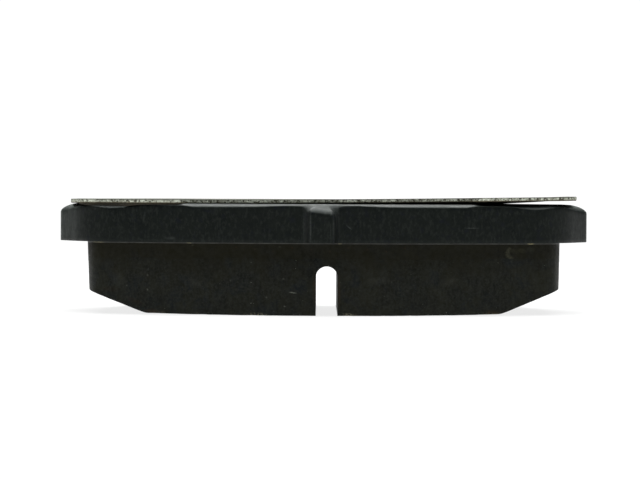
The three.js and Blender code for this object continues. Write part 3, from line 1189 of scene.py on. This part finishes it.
@dataclass
class BackingPlate:
    """The blanked steel plate with its rolled piston side and its holes."""

    bench: Bench
    roll: float = 0.66
    roll_under_shim: float = 0.34
    open_left: float = -22.6
    open_right: float = 24.4
    roll_spread: float = 2.1
    shoulder_roll: float = 0.8
    shoulder_place: float = 34.3
    tab_roll: float = 1.2
    tab_roll_slant: float = 0.16
    ear_roll: float = 0.93
    ear_spread: float = 4.4
    ear_start: float = 37.5
    root_relief: float = 0.26
    edge_round: float = 0.07
    open_fade: float = 1.5
    shoulder_reach: float = 3.2
    tab_start: float = 0.2
    tab_fade: float = 0.9
    relief_place: float = 5.5
    relief_reach: float = 4.0
    least_spread: float = 0.5

    def rolled(self, points: np.ndarray) -> np.ndarray:
        """How deep blanking has rolled the edge at each place in the plan.

        Args:
            points: places in the plan.

        Returns:
            The drop of the edge, in millimetres.
        """
        plan = self.bench.plan
        x, y = points[:, 0], points[:, 1]
        front = np.clip((-y - plan.middle_radius) / (plan.radial_depth / 2), 0.0, 1.0)
        beside, along = np.abs(x), x - plan.tab_offset
        open_edge = np.clip((self.open_right - x) / self.open_fade, 0.0, 1.0)
        open_edge *= np.clip((x - self.open_left) / self.open_fade, 0.0, 1.0)
        depth = self.roll_under_shim + (self.roll - self.roll_under_shim) * np.maximum(open_edge, 1 - front)
        depth += self.shoulder_roll * bump(beside, self.shoulder_place, self.shoulder_reach) * front
        depth += self.ear_roll * self.on_ear(points)
        on_tab = np.clip((-y - plan.outer_radius + self.tab_start) / self.tab_fade, 0.0, 1.0)
        depth += (self.tab_roll + self.tab_roll_slant * along) * on_tab
        place, reach = self.relief_place, self.relief_reach
        roots = bump(along, place, reach) + bump(along, -place, reach)
        return depth - self.root_relief * roots * front * (1 - on_tab)

    def wear_and_highlights(self) -> list[Mark]:
        """The places on the outer edge where the paint is rubbed or scratched, and the painted highlights on
        the tab's root fillets and corners.

        Returns:
            The marks, in the frame's place.
        """
        plan = self.bench.plan
        middle = (Node.BACKING_PLATE.low(2) + Node.BACKING_PLATE.high(2)) / 2
        left, right = plan.tab_offset - plan.tab_width / 2, plan.tab_offset + plan.tab_width / 2
        arc, tip = plan.outer_radius, plan.outer_radius + plan.tab_height
        # The first six marks are painted highlights: pale upright strips on the tab's root fillets and corners
        # where those edges catch the light. The rest are scratches and rubbed paint.
        rubbed = (
            (arc, left, -0.05, middle, (0.75, 3.0, 6.0), 0.26, 0.0),
            (arc, right, 0.05, middle, (0.6, 3.0, 6.0), 0.16, 0.0),
            (arc, left, -0.5, middle - 0.5, (0.22, 1.0, 3.4), 0.30, 0.0),
            (tip, left, 0.55, middle - 0.6, (0.17, 1.2, 3.3), 0.55, 0.0),
            (tip, right, -0.5, middle - 0.6, (0.20, 1.2, 2.6), 0.30, 0.0),
            (tip, right, -0.95, middle - 1.4, (0.12, 1.2, 1.6), 0.25, 0.0),
            (arc, 23.8, 0.0, 14.1, (1.5, 1.0, 0.11), 0.6, 0.0),
            (arc, 4.0, 0.0, 14.2, (0.75, 1.0, 0.16), 0.45, 42.0),
            (arc, -24.6, 0.0, 12.3, (1.0, 1.0, 0.3), 0.4, 0.0),
            (arc, -28.8, 0.0, 15.8, (0.25, 1.0, 1.5), 0.2, 12.0),
            (arc, -37.2, 0.0, 17.0, (1.2, 2.0, 0.35), 0.25, 0.0),
        )
        marks = [Mark((x + aside, self.bench.front(radius, x), z), reach, strength, turn)
                 for radius, x, aside, z, reach, strength, turn in rubbed]
        return [*marks, Mark((41.9, -7.0, 16.4), (0.9, 2.0, 0.3), 0.35, -35.0)]

    def on_ear(self, points: np.ndarray) -> np.ndarray:
        """How far out on an ear each place is, from none to one."""
        end = self.bench.plan.length / 2
        share = np.clip((np.abs(points[:, 0]) - self.ear_start) / (end - self.ear_start), 0.0, 1.0)
        return share * share * (3 - 2 * share)

    def top(self, points: np.ndarray, depth: np.ndarray) -> np.ndarray:
        """The height of the piston side, falling at the rolled edge."""
        drop, end = self.rolled(points), self.on_ear(points)
        spread = (self.roll_spread * drop + self.least_spread) * (1 - end) + self.ear_spread * end
        return Node.BACKING_PLATE.high(2) - drop * quarter_round(depth, spread)

    def bottom(self, points: np.ndarray, depth: np.ndarray) -> np.ndarray:
        """The height of the friction side, with its broken edge."""
        return Node.BACKING_PLATE.low(2) + self.edge_round * quarter_round(depth, self.edge_round)

    def build(self) -> None:
        """Makes, dresses and hands over the plate."""
        plan = self.bench.plan
        holes = [Rim.circle(centre, plan.hole_radius) for centre in plan.hole_centres()]
        insets = (0.01, 0.04, 0.09, 0.15, 0.3, 0.45, 0.65, 0.9, 1.2, 1.6, 2.1, 2.7, 3.4, 4.2)
        rim = plan.plate_rim(Tracer(0.3))
        slab = Slab(rim, self.top, self.bottom, insets, wall_rows=10, holes=holes)
        piece = slab.build(self.bench, "stamped_plate")
        self.bench.hand_over(piece, Node.BACKING_PLATE, Slot.PLATE_PAINT, StovePaint().mix(self.wear_and_highlights()))


@dataclass
class FrictionMaterial:
    """The moulded friction material: the bonding film, the underlayer with its plugs, and the block."""

    bench: Bench
    draft: tuple[float, float] = (0.42, 0.16)
    crown: float = 0.22
    crown_half: float = 28.0
    left_chamfer: tuple[float, float] = (9.95, 3.76)
    right_chamfer: tuple[float, float] = (10.3, 4.12)
    slot_width: float = 3.5
    slot_roof: float = 1.55
    slot_offset: float = 0.5
    edge_round: float = 0.12
    waviness: float = 0.8
    lumps: float = 0.04
    plug_clearance: float = 0.3
    plug_dome: float = 0.35
    plug_edge: float = 0.6
    plug_root: float = 0.8
    corner_blend: float = 0.16
    corner_sink: float = 0.02
    seam_waves: tuple[Wave, ...] = (Wave(0.7, 9.0, 3.1), Wave(0.3, 2.5, 7.7))
    block_waves: tuple[Wave, ...] = (Wave(0.6, 1.4, 1.0), Wave(0.4, 0.6, 4.0))
    pit_size: float = 0.9
    pit_level: float = 0.42
    pit_depth: float = 2.2

    def on_front(self, x: float, z: float, reach_x: float, reach_z: float, strength: float,
                 turn: float = 0.0) -> Mark:
        """A mark on the outer side of the material.

        Args:
            x: its place along the pad.
            z: its height.
            reach_x: its half width.
            reach_z: its half height.
            strength: how strong it is.
            turn: how far it is turned, in degrees.

        Returns:
            The mark.
        """
        plan = self.bench.plan
        y = self.bench.front(plan.outer_radius - plan.friction_inset, x)
        return Mark((x, y, z), (reach_x, 2.0, reach_z), strength, turn)

    def chips(self) -> list[Mark]:
        """Pale flecks on the outer side of the block.

        Returns:
            The marks.
        """
        flecks = (
            (-4.9, 3.7, 0.75, 0.15, 0.45, 8.0), (-28.3, 6.3, 0.2, 0.24, 0.16), (-28.3, 4.0, 0.2, 0.26, 0.18),
            (-31.7, 4.6, 0.18, 0.18, 0.12), (-14.9, 5.6, 0.2, 0.2, 0.10), (-6.4, 5.9, 0.24, 0.22, 0.11),
            (-6.2, 1.5, 0.2, 0.18, 0.2), (-9.1, 2.9, 0.22, 0.2, 0.12), (-20.5, 5.0, 1.6, 0.7, 0.035, 20.0),
            (9.0, 5.6, 2.4, 0.8, 0.035), (20.0, 5.4, 2.0, 0.7, 0.03, -12.0), (-33.0, 5.6, 1.6, 1.6, 0.03),
        )
        return [self.on_front(*fleck) for fleck in flecks]

    def stains_and_slot_highlights(self) -> list[Mark]:
        """Rusty tints on the block at the chamfers' lower corners, and painted highlights beside the slot where
        its edges catch the light.

        Returns:
            The marks.
        """
        side = self.slot_width / 2 + 0.25
        tints = (
            (-27.6, 0.5, 1.6, 0.5, 0.6), (27.2, 0.5, 1.6, 0.5, 0.6),
            # Painted highlights: pale upright strips along the slot's two edges.
            (self.slot_offset - side, 4.5, 0.35, 3.6, 0.5), (self.slot_offset + side, 4.0, 0.35, 3.6, 0.5),
            (-34.5, 4.0, 2.2, 0.6, 0.2), (-30.5, 2.2, 2.2, 0.5, 0.25, 20.0),
        )
        return [self.on_front(*tint) for tint in tints]

    def scuff(self) -> list[Mark]:
        """The crescent-shaped scuff near the right end, and a few crumbs.

        Returns:
            The marks.
        """
        x, z, radius = 30.5, 10.1, 0.9
        turns = [math.radians(angle) for angle in range(130, 246, 23)]
        hook = [(x + radius * math.cos(t), z + radius * math.sin(t), 0.5 - 0.15 * math.sin(t), 0.34, 0.55)
                for t in turns]
        tail = [(x, 10.3 + 0.1 * (x - 30), 1.0, 0.5, 0.2, 10.0) for x in (30.6, 31.9, 33.4)]
        crumbs = [(-7.0, 11.0, 0.3, 0.12, 0.4), (-21.0, 11.2, 0.25, 0.14, 0.4)]
        return [self.on_front(*mark) for mark in (*hook, *tail, *crumbs)]

    def dots(self) -> list[Mark]:
        """Brown dots of resin under the plate."""
        places = enumerate(range(-14, 16, 3))
        return [self.on_front(x, 10.9 - 0.3 * (i % 3), 0.22, 0.2, 0.5) for i, x in places]

    def seam(self, points: np.ndarray, depth: np.ndarray) -> np.ndarray:
        """The uneven height where the block's compound meets the underlayer's."""
        flat = np.column_stack([points, np.zeros(len(points))])
        return Node.FRICTION_BLOCK.high(2) - self.waviness * (0.5 + 0.5 * waves(flat, self.seam_waves))

    def face(self, points: np.ndarray, depth: np.ndarray) -> np.ndarray:
        """The height of the friction face: its crown, its chamfers and its worn edge."""
        x, half = points[:, 0], self.bench.plan.friction_half
        crown = self.crown * (x / self.crown_half) ** 2
        left = (self.left_chamfer[0] - half - x) * self.left_chamfer[1] / self.left_chamfer[0]
        right = (x - half + self.right_chamfer[0]) * self.right_chamfer[1] / self.right_chamfer[0]
        slope = np.maximum(left, right)
        corner = np.sqrt((slope - crown) ** 2 + self.corner_blend**2)
        blended = 0.5 * (crown + slope + corner) - self.corner_sink
        return np.maximum(blended, 0.0) + self.edge_round * quarter_round(depth, self.edge_round)

    def drafted(self, piece: bpy.types.Object) -> None:
        """Draws the walls in towards the face, as the mould's draft does."""
        plan, top = self.bench.plan, Node.ADHESIVE_FILM.low(2)
        middle = (self.bench.shift - plan.middle_radius) * MM
        for vertex in piece.data.vertices:
            share = max(0.0, (top - vertex.co.z / MM) / top)
            scales = [1 - side / plan.friction_half * share for side in self.draft]
            vertex.co.x *= scales[vertex.co.x > 0]
            vertex.co.y = middle + (vertex.co.y - middle) * sum(scales) / 2

    def roughened(self, piece: bpy.types.Object) -> None:
        """Gives the block's surface its lumps and pits, and leaves its seam as it is."""
        top = Node.FRICTION_BLOCK.high(2)
        mesh = piece.data
        places = np.array([v.co[:] for v in mesh.vertices]) / MM
        normals = np.array([v.normal[:] for v in mesh.vertices])
        wave = waves(places, self.block_waves)
        pits = np.minimum(grain(places, self.pit_size, 9.0) + self.pit_level, 0.0) * self.pit_depth
        fade = np.clip(top - self.waviness - places[:, 2], 0.0, 1.0)
        moved = places + normals * ((wave + pits) * self.lumps * fade)[:, None]
        moved[:, 2] = np.maximum(moved[:, 2], 0.0)
        for vertex, place in zip(mesh.vertices, moved * MM):
            vertex.co = place

    def slot_tool(self) -> bpy.types.Object:
        """The round-ended cutter that the slot is left by.

        Returns:
            The cutter, finely divided so that the slot's walls can be roughened.
        """
        plan, radius = self.bench.plan, self.slot_width / 2
        wall_steps, roof_steps, rows, below, beyond = 14, 16, 90, 1.0, 4.0
        top = Node.FRICTION_BLOCK.high(2) - self.slot_roof - radius
        rise = [(-radius, top * i / wall_steps - (0.0 if i else below)) for i in range(wall_steps + 1)]
        turns = [math.pi * i / roof_steps for i in range(1, roof_steps)]
        crown = [(-radius * math.cos(t), top + radius * math.sin(t)) for t in turns]
        profile = rise + crown + [(-x, z) for x, z in reversed(rise)]
        count = len(profile)
        first, last = -plan.outer_radius - plan.tab_height, beyond - plan.inner_radius
        points = [
            (self.slot_offset + x, first + (last - first) * row / rows, z)
            for row in range(rows + 1) for x, z in profile
        ]
        ends = tuple(reversed(range(count))), tuple(rows * count + i for i in range(count))
        faces: list[tuple[int, ...]] = [*ends]
        for row in range(rows):
            for i in range(count):
                j = (i + 1) % count
                near, far = row * count, (row + 1) * count
                faces.append((near + i, near + j, far + j, far + i))
        return self.bench.mesh("slot_tool", np.array(points), faces)

    def build_block(self, rim: Rim) -> None:
        """Makes the friction block.

        Args:
            rim: the material's outline.
        """
        insets = (0.01, 0.04, 0.08, 0.13, 0.3, 0.6)
        slab = Slab(rim, self.seam, self.face, insets, pitch=0.9, wall_rows=22)
        piece = slab.build(self.bench, "friction_compound_block")
        self.bench.carve(piece, self.slot_tool())
        self.drafted(piece)
        self.roughened(piece)
        finish = PressedCompound(
            "friction_compound",
            binder=(0.0044, 0.0054, 0.0038), grains=(0.0185, 0.0205, 0.0160), tint=(0.0112, 0.0118, 0.0064),
            shade=(0.0058, 0.0084, 0.0094), fleck=(0.30, 0.31, 0.27), coarse=0.36,
        )
        material = finish.mix(self.chips(), self.stains_and_slot_highlights())
        self.bench.hand_over(piece, Node.FRICTION_BLOCK, Slot.FRICTION, material, 60.0)

    def build_underlayer(self, rim: Rim) -> None:
        """Makes the underlayer and the plugs that hold it in the plate.

        Args:
            rim: the material's outline.
        """
        plan = self.bench.plan
        top = Node.UNDERLAYER.high(2)
        under = Node.ADHESIVE_FILM.low(2)

        def domed(points: np.ndarray, depth: np.ndarray) -> np.ndarray:
            """The height of a plug's rounded top."""
            return top - self.plug_dome * quarter_round(depth, self.plug_edge)

        slab = Slab(rim, level(under), self.seam, (0.06, 0.6), wall_rows=6)
        piece = slab.build(self.bench, "underlayer_compound")
        for number, centre in enumerate(plan.hole_centres()):
            circle = Rim.circle(centre, plan.hole_radius - self.plug_clearance)
            dome = Slab(circle, domed, level(under - self.plug_root), (0.1, 0.3, 0.6), pitch=1.0, wall_rows=6)
            self.bench.carve(piece, dome.build(self.bench, f"plug_{number}"), join=True)
        self.drafted(piece)
        finish = PressedCompound(
            "underlayer_compound",
            binder=(0.0064, 0.0066, 0.0034), grains=(0.0145, 0.0145, 0.0092), tint=(0.0096, 0.0096, 0.0048),
            shade=(0.0062, 0.0072, 0.0056), fleck=(0.075, 0.075, 0.048), fleck_share=0.02, coarse=0.3,
        )
        material = finish.mix(self.scuff(), self.dots())
        self.bench.hand_over(piece, Node.UNDERLAYER, Slot.UNDERLAYER, material, 60.0)

    def build_film(self, rim: Rim) -> None:
        """Makes the film of resin in the seam under the plate.

        Args:
            rim: the material's outline.
        """
        plan = self.bench.plan
        holes = [Rim.circle(centre, plan.hole_radius) for centre in plan.hole_centres()]
        low, high = Node.ADHESIVE_FILM.low(2), Node.ADHESIVE_FILM.high(2)
        slab = Slab(rim, level(high), level(low), pitch=3.0, wall_rows=3, holes=holes)
        piece = slab.build(self.bench, "bonding_film")
        lumps = ((33.4, 0.7, 0.9), (-36.5, 1.2, 0.4), (-21.5, 0.6, 0.4), (2.6, 0.4, 0.4))
        flecks = [self.on_front(x, low + 0.1, reach, 0.3, strength) for x, reach, strength in lumps]
        self.bench.hand_over(piece, Node.ADHESIVE_FILM, Slot.ADHESIVE, CuredResin().mix(flecks))

    def build(self) -> None:
        """Makes every layer of the moulding."""
        rim = self.bench.plan.friction_rim(Tracer(0.35))
        self.build_film(rim)
        self.build_underlayer(rim)
        self.build_block(rim)


@dataclass(frozen=True)
class ShimLayer:
    """One layer of the shim: what it stands for, how far it is trimmed back, and its finish."""

    name: str
    node: Node
    slot: Slot
    trim: float
    material: Callable[[], bpy.types.Material]


@dataclass
class DampingShim:
    """The bonded shim, whose right end has sprung off the plate."""

    bench: Bench
    plate: BackingPlate
    right_start: float = -20.0
    bonded_start: float = 28.0
    ripple: float = 0.025
    power: float = 1.4
    squeezed_until: float = 0.1
    fade_on_ear: float = 2.5
    inner_start: float = 0.6
    lift_wave: Wave = Wave(1.0, 7.0, 2.2)

    def lift(self, points: np.ndarray) -> np.ndarray:
        """How far the shim stands off the plate: the outer edge parts first, and the inner edge last."""
        plan, x = self.bench.plan, points[:, 0]
        inward = plan.outer_radius - np.hypot(x, points[:, 1])
        inward = np.clip(inward / (plan.radial_depth * self.inner_start), 0.0, 1.0)
        start = self.right_start + (self.bonded_start - self.right_start) * inward
        end = plan.length / 2 - plan.shim_end_inset
        height = Node.SHIM_GLUE.high(2) - Node.SHIM_INNER_COAT.low(2)
        right = np.clip((x - start) / (end - start), 0.0, 1.0)
        flat = np.column_stack([points, 0 * x])
        wave = self.ripple * (0.5 + 0.5 * waves(flat, [self.lift_wave])) * (1 - right)
        return height * right**self.power + wave

    def squeezed(self, points: np.ndarray, depth: np.ndarray, low: float, trim: float) -> np.ndarray:
        """The underside of the glue, which fills the plate's rolled edge where the shim still lies on it.

        Args:
            points: places in the plan.
            depth: how far each lies inside the layer's rim.
            low: the height of the flat underside.
            trim: how far the layer's rim lies inside the shim's.

        Returns:
            The height of the underside.
        """
        lift = self.lift(points)
        plate = self.plate.top(points, depth + trim + self.bench.plan.shim_inset)
        held = np.clip(1 - (lift - self.ripple) / self.squeezed_until, 0.0, 1.0)
        held *= np.clip(1 - self.fade_on_ear * self.plate.on_ear(points), 0.0, 1.0)
        return low + lift * (1 - held) - (low - plate) * held

    def build(self) -> None:
        """Makes the four layers, from the plate up."""
        glue = Rubber("shim_glue", (0.020, 0.017, 0.011), (0.07, 0.06, 0.04), (0.006, 0.005, 0.003))
        inner = Rubber("inner_rubber", (0.12, 0.10, 0.06), (0.34, 0.31, 0.20), (0.012, 0.010, 0.006))
        outer = Rubber("outer_rubber", (0.066, 0.070, 0.056), (0.20, 0.21, 0.17), (0.02, 0.021, 0.016))
        layers = [
            ShimLayer("shim_glue", Node.SHIM_GLUE, Slot.SHIM_GLUE, 0.06, glue.mix),
            ShimLayer("shim_inner_rubber", Node.SHIM_INNER_COAT, Slot.SHIM_INNER, 0.04, inner.mix),
            ShimLayer("shim_steel", Node.SHIM_CORE, Slot.SHIM_STEEL, 0.0, ShearedSteel().mix),
            ShimLayer("shim_outer_rubber", Node.SHIM_OUTER_COAT, Slot.SHIM_OUTER, 0.05, outer.mix),
        ]
        height = Node.SHIM_GLUE.high(2) - Node.SHIM_INNER_COAT.low(2)
        levels = [layer.node.low(2) for layer in layers] + [Node.SHIM_OUTER_COAT.high(2) - height]
        for layer, low, high in zip(layers, levels[:-1], levels[1:]):
            self.build_layer(layer, low, high)

    def build_layer(self, layer: ShimLayer, low: float, high: float) -> None:
        """Makes one layer.

        Args:
            layer: what it is.
            low: the height of its underside where the shim lies flat.
            high: the height of its top there.
        """

        def top(points: np.ndarray, depth: np.ndarray) -> np.ndarray:
            """The height of the layer's top."""
            return high + self.lift(points)

        def under(points: np.ndarray, depth: np.ndarray) -> np.ndarray:
            """The height of the layer's underside."""
            if layer.node is Node.SHIM_GLUE:
                return self.squeezed(points, depth, low, layer.trim)
            return low + self.lift(points)

        rim = self.bench.plan.shim_rim(Tracer(0.5), layer.trim)
        slab = Slab(rim, top, under, (0.08, 0.3, 0.6, 1.0, 1.5), pitch=1.6, wall_rows=2)
        self.bench.hand_over(slab.build(self.bench, layer.name), layer.node, layer.slot, layer.material(), 35.0)


# ---- Studio ----------------------------------------------------------------------------------------------


@dataclass
class Studio:
    """A pale floor, one overhead soft light and the camera."""

    distance: float = 450.0
    eye_height: float = 20.12
    sideways: float = -0.59
    lens: float = 159.1
    tip: float = 1.014
    roll: float = 0.24
    floor_radius: float = 330.0
    front_of_arc: float = 2.0
    backdrop: tuple[float, float, float, float] = (0.6, 1.14, 0.05, 1.08)
    brighter_side: Colour = (-0.15, 1.0, 0.0)
    room_tint: tuple[float, float, float, float] = (0.89, 1.0, 0.93, 1.0)
    floor_glow: float = 0.80
    floor_sides: int = 96
    floor_shade: Patches = Patches(40.0, 0.3, 0.7, 0.17, 0.15, detail=3)
    light_size: tuple[float, float] = (0.7, 0.9)
    light_power: float = 12.0
    light_place: Colour = (0.0, 0.2, 0.55)
    seen_room: float = 1.05

    def place_camera(self) -> None:
        """Sets the camera in front of the outer arc, nearly level with the shim."""
        camera = bpy.data.cameras.new("camera")
        camera.lens = self.lens
        camera.clip_start = 0.01
        holder = linked("camera", camera)
        front = CAD_BOX[0][1] / MM + self.front_of_arc
        holder.location = Vector((self.sideways, front - self.distance, self.eye_height)) * MM
        tipped = Matrix.Rotation(math.radians(90 - self.tip), 4, "X")
        rolled = Matrix.Rotation(math.radians(self.roll), 4, "Z")
        holder.rotation_euler = (tipped @ rolled).to_euler()
        bpy.context.scene.camera = holder

    def light_up(self) -> None:
        """Hangs one wide soft light over the pad."""
        light = bpy.data.lights.new("overhead", "AREA")
        light.shape = "RECTANGLE"
        light.size, light.size_y = self.light_size
        light.energy = self.light_power
        linked("overhead", light).location = self.light_place

    def tint_room(self) -> None:
        """Gives the room its dim and pale sides. Where the camera looks past the pad, it is plain white."""
        world = bpy.data.worlds.new("room")
        world.use_nodes = True
        bpy.context.scene.world = world
        room = Wiring(world.node_tree)
        aim = room.add("ShaderNodeVectorMath", operation="DOT_PRODUCT")
        room.feed(aim.inputs[0], room.add("ShaderNodeTexCoord").outputs["Generated"])
        room.feed(aim.inputs[1], self.brighter_side)
        spread = room.add("ShaderNodeMapRange", interpolation_type="SMOOTHSTEP")
        room.feed(spread.inputs["Value"], aim.outputs["Value"])
        for socket, value in zip(("From Min", "From Max", "To Min", "To Max"), self.backdrop):
            room.feed(spread.inputs[socket], value)
        dim, seen = room.tree.nodes["Background"], room.add("ShaderNodeBackground")
        lit = ((dim, self.room_tint, spread.outputs["Result"]), (seen, WHITE, self.seen_room))
        for side, colour, strength in lit:
            room.feed(side.inputs["Color"], colour)
            room.feed(side.inputs["Strength"], strength)
        mix = room.add("ShaderNodeMixShader")
        path = room.add("ShaderNodeLightPath").outputs["Is Camera Ray"]
        for socket, source in zip(mix.inputs, (path, dim.outputs[0], seen.outputs[0])):
            room.feed(socket, source)
        room.feed(room.tree.nodes["World Output"].inputs["Surface"], mix.outputs[0])
        bpy.context.scene.view_settings.view_transform = "Standard"

    def lay_floor(self) -> None:
        """Lays a round pale floor under the pad."""
        radius = self.floor_radius * MM
        turns = [2 * math.pi * i / self.floor_sides for i in range(self.floor_sides)]
        points = [(radius * math.cos(t), radius * math.sin(t), 0.0) for t in turns]
        mesh = bpy.data.meshes.new("floor")
        mesh.from_pydata(points, [], [tuple(range(self.floor_sides))])
        floor = linked("floor", mesh)
        paint = Palette("pale_floor")
        shade = paint.patches(self.floor_shade)
        mesh.materials.append(paint.coat(Base_Color=shade, Roughness=0.9, Specular_IOR_Level=0.1,
                                         Emission_Color=WHITE, Emission_Strength=self.floor_glow))


def main() -> None:
    """Builds the pad and its studio."""
    logging.basicConfig(level=logging.INFO, format="%(name)s: %(message)s")
    studio = Studio()
    studio.place_camera()
    studio.light_up()
    studio.tint_room()
    studio.lay_floor()
    length = Node.BACKING_PLATE.high(0) - Node.BACKING_PLATE.low(0)
    bench = Bench(PadPlan(length, friction_half=Node.ADHESIVE_FILM.high(0)))
    plate = BackingPlate(bench)
    for part in (plate, FrictionMaterial(bench), DampingShim(bench, plate)):
        part.build()
        LOG.info("%s built", type(part).__name__)


if __name__ == "__main__":
    main()
